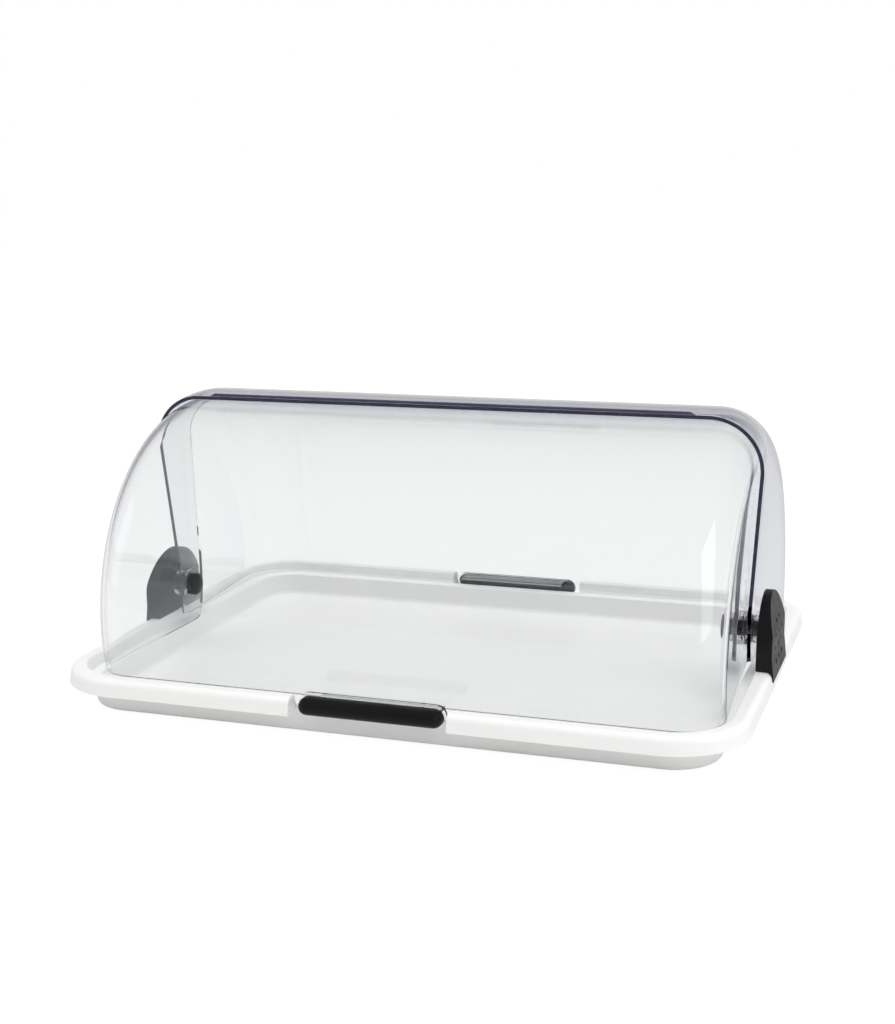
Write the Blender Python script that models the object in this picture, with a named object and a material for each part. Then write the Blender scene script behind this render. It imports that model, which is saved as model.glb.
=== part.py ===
"""Countertop bread display case with two roll-top covers.

A white moulded tray carries a black bracket on each side rim. Both clear covers turn on the
same two pivot pins: the front cover rolls back under the rear one, and the rear cover rolls
forward over the front one. Metres, +Z up, X across the case, the front facing -Y. The origin
is the middle of the footprint, on the worktop.
"""

import math

import bmesh
import bpy
from mathutils import Matrix

# Tray
TRAY_WIDTH = 0.560
TRAY_DEPTH = 0.416
RIM_HEIGHT = 0.034
TRAY_CORNER_RADIUS = 0.060
TRAY_WALL = 0.003
RIM_WIDTH = 0.0145
RIM_DRAFT = 0.0022
RIM_EDGE_RADIUS = 0.0045
SKIRT_HEIGHT = 0.0137
LEDGE_DROP = 0.0097
LEDGE_STEP_LEAN = 0.003
LEDGE_WIDTH = 0.009
BOWL_LEAN = 0.003
BOWL_FILLET = 0.003
TRAY_CORNER_STEPS = 8
EDGE_STEPS = 3

# Feet
FOOT_RADIUS = 0.009
FOOT_THICKNESS = 0.0012
FOOT_INSET = 0.062

# Notches through the front and rear rims, as deep as the ledge's step, where the handles lie
NOTCH_SIDE_CLEARANCE = 0.0055

# Pivot and covers
PIVOT_HEIGHT = 0.0585
COVER_SETBACK = 0.0297
COVER_WALL = 0.003
COVER_SIDE_INSET = 0.0127
COVER_DISH = 0.0102
COVER_HUB_RADIUS = 0.0165
COVER_GAP = 0.0036
REAR_COVER_EDGE_RADIUS = 0.044
FRONT_COVER_EDGE_RADIUS = 0.034
COVER_OVERLAP = 0.0126
COVER_EDGE_LEAN = 0.077
REAR_COVER_LOWER_EDGE_DROP = 0.0022
COVER_EDGE_STEPS = 6
COVER_TURN_STEPS = 76

# Finger ridge along the rear cover's top edge
RIDGE_END_INSET = 0.0573
RIDGE_HEIGHT = 0.0025
RIDGE_THICKNESS = 0.003

# Handle tabs on the covers, and their grips
GRIP_LENGTH = 0.1165
GRIP_HEIGHT = 0.0142
GRIP_DEPTH = 0.012
GRIP_EDGE_RADIUS = 0.005
GRIP_SETBACK = 0.0022
TAB_PLATE_THICKNESS = 0.0027
TAB_PLATE_RISE = 0.0022
TAB_PLATE_END_REACH = 0.0015
TAB_WEB_END_INSET = 0.00825
TAB_WEB_THICKNESS = 0.0027
TAB_WEB_LIFT = 0.0004
END_STEPS = 8

# Screws
SCREW_RADIUS = 0.0015
SCREW_HEAD_RADIUS = 0.0025
SCREW_HEAD_HEIGHT = 0.0018
SCREW_LENGTH = 0.010
SCREW_CROWN_SHARE = 0.5
SCREW_SHOULDER_SHARE = 0.5
HANDLE_SCREW_END_INSET = 0.01825
BRACKET_SCREW_END_INSET = 0.014

# Pivot pins, with a spacer between the covers and a collar at the bracket
PIN_RADIUS = 0.0065
PIN_HEAD_RADIUS = 0.010
PIN_HEAD_HEIGHT = 0.0058
PIN_HEAD_RIM_SHARE = 0.25
PIN_TAIL_RADIUS = 0.004
PIN_TAIL_LENGTH = 0.009
SPACER_RADIUS = 0.014
COLLAR_RADIUS = 0.0115
ROUND_STEPS = 36

# Brackets
BRACKET_DEPTH = 0.076
BRACKET_HEIGHT = 0.057
BRACKET_THICKNESS = 0.0126
BRACKET_CROWN_THICKNESS = 0.0066
BRACKET_SKIRT_DROP = 0.008
BRACKET_SKIRT_THICKNESS = 0.0008
BRACKET_SKIRT_GAP = 0.0006
BRACKET_FLARE_HEIGHT = 0.011
BRACKET_SHOULDER_HEIGHT = 0.029
BRACKET_EDGE_BEVEL = 0.0016
ARCH_STEPS = 18
DIMPLE_RADIUS = 0.0015
DIMPLE_DEPTH = 0.0012
DIMPLE_ROW_PITCH = 0.0107
DIMPLE_PITCH = 0.016
DIMPLE_BASE_MARGIN = 0.0035
DIMPLE_COUNTS = (3, 3, 3, 2)
DIMPLE_STEPS = 10

# Clearances
CONTACT_GAP = 0.0003
RUNNING_GAP = 0.0001
BORE_GAP = 0.0003
CUT_OVERRUN = 0.004

HALF_TURN = math.pi
QUARTER_TURN = math.pi / 2
SMOOTH_ANGLE = math.radians(30)
GRIP_SMOOTH_ANGLE = math.radians(40)
BRACKET_BEVEL_ANGLE = math.radians(50)
ROUND_PROFILE_SHARE = 0.5
BRACKET_BEVEL_STEPS = 2

# Places that follow from the sizes above
FLOOR_UNDER = FOOT_THICKNESS + CONTACT_GAP
FLOOR_TOP = FLOOR_UNDER + TRAY_WALL
SKIRT_BOTTOM = RIM_HEIGHT - SKIRT_HEIGHT
COVER_RADIUS = TRAY_DEPTH / 2 - COVER_SETBACK
REAR_COVER_HALF = TRAY_WIDTH / 2 - COVER_SIDE_INSET
FRONT_COVER_HALF = REAR_COVER_HALF - COVER_WALL - COVER_GAP
FRONT_COVER_RADIUS = COVER_RADIUS - COVER_WALL - COVER_GAP
REAR_HUB_HALF = REAR_COVER_HALF - COVER_DISH
FRONT_HUB_HALF = FRONT_COVER_HALF - COVER_DISH
BRACKET_INNER = TRAY_WIDTH / 2 - RIM_WIDTH - CONTACT_GAP
RIDGE_HALF_LENGTH = REAR_COVER_HALF - RIDGE_END_INSET
TAB_WEB_HALF_LENGTH = GRIP_LENGTH / 2 - TAB_WEB_END_INSET
HANDLE_SCREW_SPACING = GRIP_LENGTH - 2 * HANDLE_SCREW_END_INSET
BRACKET_SCREW_SPACING = BRACKET_DEPTH - 2 * BRACKET_SCREW_END_INSET
LEDGE_HEIGHT = RIM_HEIGHT - LEDGE_DROP
FRONT_LOBE_RADIUS = PIVOT_HEIGHT - LEDGE_HEIGHT - CONTACT_GAP
REAR_LOBE_RADIUS = PIVOT_HEIGHT - RIM_HEIGHT + REAR_COVER_LOWER_EDGE_DROP
GRIP_BOTTOM = RIM_HEIGHT - GRIP_HEIGHT
GRIP_MIDDLE = GRIP_BOTTOM + GRIP_HEIGHT / 2
GRIP_FRONT = TRAY_DEPTH / 2 - GRIP_SETBACK
GRIP_BACK = GRIP_FRONT - GRIP_DEPTH
TAB_PLATE_FRONT = GRIP_BACK - CONTACT_GAP
TAB_PLATE_BACK = TAB_PLATE_FRONT - TAB_PLATE_THICKNESS
TAB_PLATE_HEIGHT = GRIP_HEIGHT + TAB_PLATE_RISE
TAB_PLATE_LENGTH = GRIP_LENGTH + 2 * TAB_PLATE_END_REACH
NOTCH_HALF_LENGTH = GRIP_LENGTH / 2 + NOTCH_SIDE_CLEARANCE
NOTCH_DEPTH = RIM_WIDTH + LEDGE_STEP_LEAN + CONTACT_GAP
BRACKET_SCREW_X = TRAY_WIDTH / 2 - (RIM_DRAFT + RIM_EDGE_RADIUS + RIM_WIDTH - TRAY_WALL) / 2
BRACKET_BASE = RIM_HEIGHT + CONTACT_GAP
BRACKET_TOP = BRACKET_BASE + BRACKET_HEIGHT
SIDES = (("left", -1), ("right", 1))
ENDS = (("front", -1), ("rear", 1))


def clear_scene():
    for item in list(bpy.data.objects):
        bpy.data.objects.remove(item, do_unlink=True)


def make_material(name, colour, roughness, metallic=0.0, alpha=1.0):
    material = bpy.data.materials.new(name)
    material.use_nodes = True
    shader = material.node_tree.nodes["Principled BSDF"]
    shader.inputs["Base Color"].default_value = (*colour, 1.0)
    shader.inputs["Roughness"].default_value = roughness
    shader.inputs["Metallic"].default_value = metallic
    shader.inputs["Alpha"].default_value = alpha
    return material


def make_object(name, form, material=None, smooth_below=SMOOTH_ANGLE):
    bmesh.ops.recalc_face_normals(form, faces=form.faces)
    mesh = bpy.data.meshes.new(name)
    form.to_mesh(mesh)
    form.free()
    mesh.shade_smooth()
    mesh.set_sharp_from_angle(angle=smooth_below)
    item = bpy.data.objects.new(name, mesh)
    bpy.context.scene.collection.objects.link(item)
    if material:
        mesh.materials.append(material)
    return item


def make_helper(name, form):
    item = make_object(name, form)
    item.hide_render = True
    item.display_type = "WIRE"
    return item


def combine(item, helper, operation):
    modifier = item.modifiers.new(helper.name, "BOOLEAN")
    modifier.object = helper
    modifier.operation = operation
    modifier.solver = "EXACT"


def prism(outline, start, end, place):
    """Extrudes a flat outline. place(a, b, c) gives the point for outline (a, b) at depth c."""
    form = bmesh.new()
    first = [form.verts.new(place(a, b, start)) for a, b in outline]
    last = [form.verts.new(place(a, b, end)) for a, b in outline]
    form.faces.new(first)
    form.faces.new(last)
    count = len(outline)
    for i in range(count):
        j = (i + 1) % count
        form.faces.new((first[i], first[j], last[j], last[i]))
    return form


def along_x(a, b, c):
    return (c, a, b)


def along_y(a, b, c):
    return (a, c, b)


def along_z(a, b, c):
    return (a, b, c)


def box_outline(half_a, low_b, high_b):
    return [(-half_a, low_b), (half_a, low_b), (half_a, high_b), (-half_a, high_b)]


def arc(centre_a, centre_b, radius, start, end, steps):
    points = []
    for i in range(steps + 1):
        angle = start + (end - start) * i / steps
        points.append((centre_a + radius * math.cos(angle), centre_b + radius * math.sin(angle)))
    return points


def circle_outline(radius, steps, centre=(0, 0)):
    return arc(centre[0], centre[1], radius, 0, 2 * HALF_TURN, steps)[:-1]


def stadium_outline(length, height, middle):
    radius = height / 2
    reach = length / 2 - radius
    right = arc(reach, middle, radius, -QUARTER_TURN, QUARTER_TURN, END_STEPS)
    left = arc(-reach, middle, radius, QUARTER_TURN, HALF_TURN + QUARTER_TURN, END_STEPS)
    return right + left


def turned(profile, steps):
    """Turns a closed outline of (x, radius) points about the X axis."""
    form = bmesh.new()
    rings = []
    for x, radius in profile:
        if radius <= 0:
            rings.append([form.verts.new((x, 0, 0))])
            continue
        ring = []
        for i in range(steps):
            angle = 2 * HALF_TURN * i / steps
            ring.append(form.verts.new((x, radius * math.sin(angle), radius * math.cos(angle))))
        rings.append(ring)
    for i, ring in enumerate(rings):
        other = rings[(i + 1) % len(rings)]
        if len(ring) == 1 and len(other) == 1:
            continue
        for j in range(steps):
            k = (j + 1) % steps
            if len(ring) == 1:
                form.faces.new((ring[0], other[j], other[k]))
            elif len(other) == 1:
                form.faces.new((ring[j], other[0], ring[k]))
            else:
                form.faces.new((ring[j], other[j], other[k], ring[k]))
    return form


def moved(form, matrix):
    bmesh.ops.transform(form, matrix=matrix, verts=form.verts)
    return form


def offset_path(points, distance):
    """The path of (inset, height) points moved sideways by distance, with mitred corners."""
    normals = []
    for (a, b), (c, d) in zip(points, points[1:]):
        length = math.hypot(c - a, d - b)
        normals.append(((d - b) / length, -(c - a) / length))
    result = []
    for i, (a, b) in enumerate(points):
        before = normals[max(i - 1, 0)]
        after = normals[min(i, len(normals) - 1)]
        sum_a = before[0] + after[0]
        sum_b = before[1] + after[1]
        scale = 2 * distance / (sum_a * sum_a + sum_b * sum_b)
        result.append((a + sum_a * scale, b + sum_b * scale))
    return result


def tray_section():
    """The tray's upper surface as (inset from the outline, height), from the skirt to the floor."""
    points = [(0, SKIRT_BOTTOM)]
    edge = arc(RIM_DRAFT + RIM_EDGE_RADIUS, RIM_HEIGHT - RIM_EDGE_RADIUS, RIM_EDGE_RADIUS,
               HALF_TURN, QUARTER_TURN, EDGE_STEPS)
    points += edge
    ledge_start = RIM_WIDTH + LEDGE_STEP_LEAN
    ledge_end = ledge_start + LEDGE_WIDTH
    points.append((RIM_WIDTH, RIM_HEIGHT))
    points.append((ledge_start, LEDGE_HEIGHT))
    points.append((ledge_end, LEDGE_HEIGHT))
    foot = ledge_end + BOWL_LEAN
    points += arc(foot + BOWL_FILLET, FLOOR_TOP + BOWL_FILLET, BOWL_FILLET,
                  HALF_TURN, HALF_TURN + QUARTER_TURN, EDGE_STEPS)
    points.append((foot + BOWL_FILLET * 2, FLOOR_TOP))
    return points


def tray_ring(form, inset, height):
    radius = TRAY_CORNER_RADIUS - inset
    half_x = TRAY_WIDTH / 2 - inset
    half_y = TRAY_DEPTH / 2 - inset
    ring = []
    for quarter in range(4):
        sign_x = 1 if quarter in (0, 3) else -1
        sign_y = 1 if quarter in (0, 1) else -1
        start = quarter * QUARTER_TURN
        corner = arc(sign_x * (half_x - radius), sign_y * (half_y - radius), radius,
                     start, start + QUARTER_TURN, TRAY_CORNER_STEPS)
        ring += [form.verts.new((x, y, height)) for x, y in corner]
    return ring


def build_tray(material):
    upper = tray_section()
    lower = offset_path(upper, TRAY_WALL)
    lower[0] = (upper[0][0] + TRAY_WALL, SKIRT_BOTTOM)
    form = bmesh.new()
    rings = [tray_ring(form, a, b) for a, b in reversed(upper)]
    rings += [tray_ring(form, a, b) for a, b in lower]
    for ring, other in zip(rings, rings[1:]):
        count = len(ring)
        for i in range(count):
            j = (i + 1) % count
            form.faces.new((ring[i], ring[j], other[j], other[i]))
    form.faces.new(rings[0])
    form.faces.new(rings[-1])
    tray = make_object("tray", form, material)

    notch = box_outline(NOTCH_HALF_LENGTH, SKIRT_BOTTOM - CUT_OVERRUN, RIM_HEIGHT + CUT_OVERRUN)
    for end, sign in ENDS:
        form = prism(notch, sign * (TRAY_DEPTH / 2 - NOTCH_DEPTH), sign * (TRAY_DEPTH / 2 + CUT_OVERRUN),
                     along_y)
        combine(tray, make_helper(end + "_notch_cutter", form), "DIFFERENCE")
    for side, x_sign in SIDES:
        for end, y_sign in ENDS:
            centre = (x_sign * BRACKET_SCREW_X, y_sign * BRACKET_SCREW_SPACING / 2)
            outline = circle_outline(SCREW_RADIUS + BORE_GAP, DIMPLE_STEPS, centre)
            form = prism(outline, RIM_HEIGHT - TRAY_WALL - CUT_OVERRUN, RIM_HEIGHT + CUT_OVERRUN,
                         along_z)
            combine(tray, make_helper(side + end + "_rim_hole", form), "DIFFERENCE")
    return tray


def cover_section(half, radius, edge_radius):
    """The cover wall's closed outline as (x, radius from the pivot axis).

    The ends are dished: flat at the pin, then a shallow cone out to the rounded edge.
    """
    slope = COVER_DISH / (radius - COVER_HUB_RADIUS)
    lean = math.atan(slope)
    centre = radius - edge_radius
    side = half - slope * edge_radius - edge_radius * math.sqrt(1 + slope * slope)
    hub = half - COVER_DISH
    outer = [(hub, PIN_RADIUS + RUNNING_GAP), (hub, COVER_HUB_RADIUS)]
    outer += arc(side, centre, edge_radius, -lean, QUARTER_TURN, COVER_EDGE_STEPS)
    outer += [(-x, r) for x, r in reversed(outer)]
    inner = offset_path(outer, -COVER_WALL)
    return outer + list(reversed(inner))


def cheek_outline(radius, lobe, sign):
    """The side view that a cover keeps, about the pivot; sign is -1 for the front cover."""
    far = radius + CUT_OVERRUN
    lean = COVER_EDGE_LEAN
    square = 1 + lean * lean
    reach = COVER_OVERLAP * lean
    root = math.sqrt(reach * reach + square * (lobe * lobe - COVER_OVERLAP * COVER_OVERLAP))
    drop = (-reach - root) / square
    start = math.atan2(drop, COVER_OVERLAP + lean * drop)
    points = [(COVER_OVERLAP + lean * far, far)]
    points += arc(0, 0, lobe, start, -QUARTER_TURN, COVER_EDGE_STEPS)
    points += [(-far, -lobe), (-far, far)]
    return [(-sign * a, b) for a, b in points]


def web_bottom(lobe):
    """The height of a tab's web: just above its cover's lower edge."""
    return PIVOT_HEIGHT - lobe + TAB_WEB_LIFT


def add_tab(cover, name, radius, lobe, sign):
    low = web_bottom(lobe)
    wall_middle = math.sqrt((radius - COVER_WALL / 2) ** 2 - (PIVOT_HEIGHT - low) ** 2)
    web = box_outline(TAB_WEB_HALF_LENGTH, low, low + TAB_WEB_THICKNESS)
    plate_middle = (TAB_PLATE_FRONT + TAB_PLATE_BACK) / 2
    form = prism(web, sign * wall_middle, sign * plate_middle, along_y)
    combine(cover, make_helper(name + "_tab_web", form), "UNION")
    plate = stadium_outline(TAB_PLATE_LENGTH, TAB_PLATE_HEIGHT, GRIP_BOTTOM + TAB_PLATE_HEIGHT / 2)
    form = prism(plate, sign * TAB_PLATE_BACK, sign * TAB_PLATE_FRONT, along_y)
    combine(cover, make_helper(name + "_tab_plate", form), "UNION")
    for side, x_sign in SIDES:
        centre = handle_screw_place(x_sign, lobe)
        hole = circle_outline(SCREW_RADIUS + BORE_GAP, DIMPLE_STEPS, centre)
        form = prism(hole, sign * (TAB_PLATE_BACK - CUT_OVERRUN),
                     sign * (TAB_PLATE_FRONT + CUT_OVERRUN), along_y)
        combine(cover, make_helper(name + side + "_tab_hole", form), "DIFFERENCE")


def handle_screw_place(x_sign, lobe):
    """The middle of the larger free band behind the plate: under the web, or over it."""
    low = web_bottom(lobe)
    high = low + TAB_WEB_THICKNESS
    if low - LEDGE_HEIGHT > RIM_HEIGHT - high:
        height = (LEDGE_HEIGHT + low) / 2
    else:
        height = (high + RIM_HEIGHT) / 2
    return (x_sign * HANDLE_SCREW_SPACING / 2, height)


def build_cover(name, half, radius, edge_radius, lobe, sign, material):
    form = turned(cover_section(half, radius, edge_radius), COVER_TURN_STEPS)
    cover = make_object(name, form, material)
    cover.location.z = PIVOT_HEIGHT
    if sign > 0:
        combine(cover, ridge_helper(radius), "UNION")
    reach = half + CUT_OVERRUN
    form = prism(cheek_outline(radius, lobe, sign), -reach, reach, along_x)
    keep = make_helper(name + "_side_view", form)
    keep.location.z = PIVOT_HEIGHT
    combine(cover, keep, "INTERSECT")
    add_tab(cover, name, radius, lobe, sign)
    return cover


def ridge_helper(radius):
    """A low ridge along the top of the rear cover's front edge, with sloped ends."""
    edge = COVER_OVERLAP + COVER_EDGE_LEAN * radius
    crown = math.sqrt(radius * radius - edge * edge)
    low = crown - COVER_WALL / 2
    high = crown + RIDGE_HEIGHT
    outline = [(-RIDGE_HALF_LENGTH, low), (RIDGE_HALF_LENGTH, low),
               (RIDGE_HALF_LENGTH - RIDGE_HEIGHT, high), (RIDGE_HEIGHT - RIDGE_HALF_LENGTH, high)]
    form = prism(outline, -edge - CUT_OVERRUN / 2, RIDGE_THICKNESS - edge, along_y)
    ridge = make_helper("rear_cover_ridge", form)
    ridge.location.z = PIVOT_HEIGHT
    return ridge


def build_grip(name, lobe, sign, material):
    outline = stadium_outline(GRIP_LENGTH, GRIP_HEIGHT, GRIP_MIDDLE)
    form = prism(outline, sign * GRIP_BACK, sign * GRIP_FRONT, along_y)
    front = [edge for edge in form.edges
             if all(abs(abs(vert.co.y) - GRIP_FRONT) < CONTACT_GAP for vert in edge.verts)]
    bmesh.ops.bevel(form, geom=front, offset=GRIP_EDGE_RADIUS, segments=EDGE_STEPS,
                    profile=ROUND_PROFILE_SHARE, affect="EDGES")
    grip = make_object(name, form, material, smooth_below=GRIP_SMOOTH_ANGLE)
    for side, x_sign in SIDES:
        centre = handle_screw_place(x_sign, lobe)
        hole = circle_outline(SCREW_RADIUS + BORE_GAP, DIMPLE_STEPS, centre)
        depth = SCREW_LENGTH - TAB_PLATE_THICKNESS
        form = prism(hole, sign * (GRIP_BACK - CUT_OVERRUN), sign * (GRIP_BACK + depth), along_y)
        combine(grip, make_helper(name + side + "_bore", form), "DIFFERENCE")
    return grip


def screw_form():
    """A screw along +X: the head's underside is at the origin, and the shank runs in +X."""
    head = SCREW_HEAD_RADIUS
    profile = [(-SCREW_HEAD_HEIGHT, 0), (-SCREW_HEAD_HEIGHT, head * SCREW_CROWN_SHARE),
               (-SCREW_HEAD_HEIGHT * SCREW_SHOULDER_SHARE, head), (0, head), (0, SCREW_RADIUS),
               (SCREW_LENGTH - SCREW_RADIUS, SCREW_RADIUS), (SCREW_LENGTH - CONTACT_GAP, 0)]
    return turned(profile, DIMPLE_STEPS * 2)


def build_screw(name, place, turn, material):
    form = moved(screw_form(), turn)
    screw = make_object(name, form, material)
    screw.location = place
    return screw


def bracket_section():
    """The bracket seen along Y, as (distance from the middle of the case, height)."""
    tip = SKIRT_BOTTOM + SKIRT_HEIGHT - BRACKET_SKIRT_DROP
    lean = RIM_DRAFT * (tip - SKIRT_BOTTOM) / (SKIRT_HEIGHT - RIM_EDGE_RADIUS)
    rim_side = TRAY_WIDTH / 2 + BRACKET_SKIRT_GAP - lean
    edge = arc(TRAY_WIDTH / 2 - RIM_DRAFT - RIM_EDGE_RADIUS, RIM_HEIGHT - RIM_EDGE_RADIUS,
               RIM_EDGE_RADIUS + BRACKET_SKIRT_GAP, QUARTER_TURN, 0, EDGE_STEPS)
    edge[0] = (edge[0][0], BRACKET_BASE)
    skirt = rim_side + BRACKET_SKIRT_THICKNESS
    top = BRACKET_TOP + CUT_OVERRUN
    face = [(bracket_face(height), height)
            for height in (BRACKET_BASE + BRACKET_FLARE_HEIGHT,
                           BRACKET_BASE + BRACKET_SHOULDER_HEIGHT, top)]
    return ([(BRACKET_INNER, BRACKET_BASE)] + edge + [(rim_side, tip), (skirt, tip)] + face
            + [(BRACKET_INNER, top)])


def bracket_face(height):
    """How far the bracket's outer face is from the middle: upright, then leaning in above its shoulder."""
    shoulder = BRACKET_BASE + BRACKET_SHOULDER_HEIGHT
    lean = (BRACKET_THICKNESS - BRACKET_CROWN_THICKNESS) / (BRACKET_TOP - shoulder)
    return BRACKET_INNER + BRACKET_THICKNESS - lean * max(height - shoulder, 0)


def bracket_arch():
    """The bracket seen along X: upright sides that carry an arch."""
    half = BRACKET_DEPTH / 2
    spring = BRACKET_TOP - half
    low = RIM_HEIGHT - BRACKET_SKIRT_DROP - CUT_OVERRUN
    points = [(-half, low), (half, low)]
    points += arc(0, spring, half, 0, HALF_TURN, ARCH_STEPS)
    return points


def build_bracket(side, x_sign, material):
    outline = [(x_sign * a, b) for a, b in bracket_section()]
    half = BRACKET_DEPTH / 2 + CUT_OVERRUN
    name = side + "_bracket"
    bracket = make_object(name, prism(outline, -half, half, along_y), material)
    start = x_sign * (BRACKET_INNER - CUT_OVERRUN)
    end = x_sign * (TRAY_WIDTH / 2 + CUT_OVERRUN)
    arch = make_helper(name + "_arch", prism(bracket_arch(), start, end, along_x))
    combine(bracket, arch, "INTERSECT")
    bevel = bracket.modifiers.new("soft_edges", "BEVEL")
    bevel.width = BRACKET_EDGE_BEVEL
    bevel.segments = BRACKET_BEVEL_STEPS
    bevel.limit_method = "ANGLE"
    bevel.angle_limit = BRACKET_BEVEL_ANGLE
    mouth = x_sign * (BRACKET_INNER - CUT_OVERRUN)
    depth = x_sign * (BRACKET_INNER + PIN_TAIL_LENGTH + CONTACT_GAP)
    radius = PIN_TAIL_RADIUS + BORE_GAP
    bore = [(mouth, 0), (mouth, radius), (depth, radius), (depth, 0)]
    bore_cutter = make_helper(name + "_pin_bore", turned(bore, ROUND_STEPS // 2))
    bore_cutter.location.z = PIVOT_HEIGHT
    combine(bracket, bore_cutter, "DIFFERENCE")
    for end_name, y_sign in ENDS:
        centre = (x_sign * BRACKET_SCREW_X, y_sign * BRACKET_SCREW_SPACING / 2)
        hole = circle_outline(SCREW_RADIUS + BORE_GAP, DIMPLE_STEPS, centre)
        form = prism(hole, RIM_HEIGHT - CUT_OVERRUN, RIM_HEIGHT + SCREW_LENGTH - TRAY_WALL, along_z)
        combine(bracket, make_helper(name + end_name + "_screw_bore", form), "DIFFERENCE")
    add_dimples(bracket, name, x_sign)
    return bracket


def add_dimples(bracket, name, x_sign):
    """Rows of small round dimples on the bracket's outer face, the short row at the top."""
    for row, count in enumerate(DIMPLE_COUNTS):
        height = BRACKET_BASE + DIMPLE_BASE_MARGIN + DIMPLE_ROW_PITCH * row
        face = bracket_face(height)
        for column in range(count):
            across = DIMPLE_PITCH * (column - (count - 1) / 2)
            hole = circle_outline(DIMPLE_RADIUS, DIMPLE_STEPS, (across, height))
            start = x_sign * (face - DIMPLE_DEPTH)
            form = prism(hole, start, x_sign * (face + CUT_OVERRUN), along_x)
            label = f"{name}_dimple_{row}_{column}"
            combine(bracket, make_helper(label, form), "DIFFERENCE")


def build_pin(side, x_sign, material):
    shoulder = FRONT_HUB_HALF - COVER_WALL - CONTACT_GAP
    tip = shoulder - PIN_HEAD_HEIGHT
    rim = shoulder - PIN_HEAD_HEIGHT * PIN_HEAD_RIM_SHARE
    crown = []
    for i in range(EDGE_STEPS * 2):
        angle = QUARTER_TURN * i / (EDGE_STEPS * 2)
        crown.append((tip + (rim - tip) * (1 - math.cos(angle)), PIN_HEAD_RADIUS * math.sin(angle)))
    tail = BRACKET_INNER - CONTACT_GAP
    profile = crown + [(rim, PIN_HEAD_RADIUS), (shoulder, PIN_HEAD_RADIUS),
                       (shoulder, PIN_RADIUS), (tail, PIN_RADIUS), (tail, PIN_TAIL_RADIUS),
                       (tail + PIN_TAIL_LENGTH, PIN_TAIL_RADIUS), (tail + PIN_TAIL_LENGTH, 0)]
    profile = [(x_sign * x, radius) for x, radius in profile]
    pin = make_object(side + "_pivot_pin", turned(profile, ROUND_STEPS), material)
    pin.location.z = PIVOT_HEIGHT


def build_collar(name, x_sign, start, end, radius, material):
    """A plain ring on the pivot pin, clear of the pieces that it keeps apart."""
    bore = PIN_RADIUS + BORE_GAP
    ends = (x_sign * (start + CONTACT_GAP), x_sign * (end - CONTACT_GAP))
    profile = [(ends[0], bore), (ends[1], bore), (ends[1], radius), (ends[0], radius)]
    collar = make_object(name, turned(profile, ROUND_STEPS), material)
    collar.location.z = PIVOT_HEIGHT


def build_feet(material):
    for end, y_sign in ENDS:
        for side, x_sign in SIDES:
            centre = (x_sign * (TRAY_WIDTH / 2 - FOOT_INSET), y_sign * (TRAY_DEPTH / 2 - FOOT_INSET))
            form = prism(circle_outline(FOOT_RADIUS, ROUND_STEPS // 2), 0, FOOT_THICKNESS, along_z)
            foot = make_object(f"foot_{end}_{side}", form, material)
            foot.location = (*centre, 0)


def main():
    clear_scene()
    white = make_material("white_tray", (0.86, 0.86, 0.83), 0.28)
    clear = make_material("clear_cover", (0.90, 0.92, 0.95), 0.05, alpha=0.25)
    black = make_material("black_plastic", (0.018, 0.018, 0.020), 0.42)
    rubber = make_material("grey_rubber", (0.30, 0.30, 0.30), 0.80)
    steel = make_material("screw_steel", (0.62, 0.62, 0.64), 0.35, metallic=1.0)

    build_tray(white)
    build_feet(rubber)

    build_cover("front_cover", FRONT_COVER_HALF, FRONT_COVER_RADIUS, FRONT_COVER_EDGE_RADIUS,
                FRONT_LOBE_RADIUS, -1, clear)
    build_cover("rear_cover", REAR_COVER_HALF, COVER_RADIUS, REAR_COVER_EDGE_RADIUS,
                REAR_LOBE_RADIUS, 1, clear)

    for (end, sign), lobe in zip(ENDS, (FRONT_LOBE_RADIUS, REAR_LOBE_RADIUS)):
        build_grip(end + "_handle_grip", lobe, sign, black)
        turn = Matrix.Rotation(sign * QUARTER_TURN, 4, "Z")
        for side, x_sign in SIDES:
            x, height = handle_screw_place(x_sign, lobe)
            place = (x, sign * (TAB_PLATE_BACK - CONTACT_GAP), height)
            build_screw(f"{end}_handle_screw_{side}", place, turn, steel)

    turn_up = Matrix.Rotation(-QUARTER_TURN, 4, "Y")
    for side, x_sign in SIDES:
        build_bracket(side, x_sign, black)
        build_pin(side, x_sign, black)
        build_collar(side + "_cover_spacer", x_sign, FRONT_HUB_HALF, REAR_HUB_HALF - COVER_WALL,
                     SPACER_RADIUS, clear)
        build_collar(side + "_bracket_collar", x_sign, REAR_HUB_HALF, BRACKET_INNER,
                     COLLAR_RADIUS, clear)
        for end, y_sign in ENDS:
            place = (x_sign * BRACKET_SCREW_X, y_sign * BRACKET_SCREW_SPACING / 2,
                     RIM_HEIGHT - TRAY_WALL - CONTACT_GAP)
            build_screw(f"{side}_bracket_screw_{end}", place, turn_up, steel)


main()
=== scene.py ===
"""Countertop bread display case with two clear roll-top covers: the visible model.

A white moulded tray, a black bracket on each side rim, and a front and a rear cover that turn
on the same two pivot pins. Metres, +Z up, X across the case, the front facing -Y, and the
origin in the middle of the footprint.
"""
import math

import bmesh
import bpy
from mathutils import Matrix, Vector
from mathutils.geometry import delaunay_2d_cdt


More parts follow.
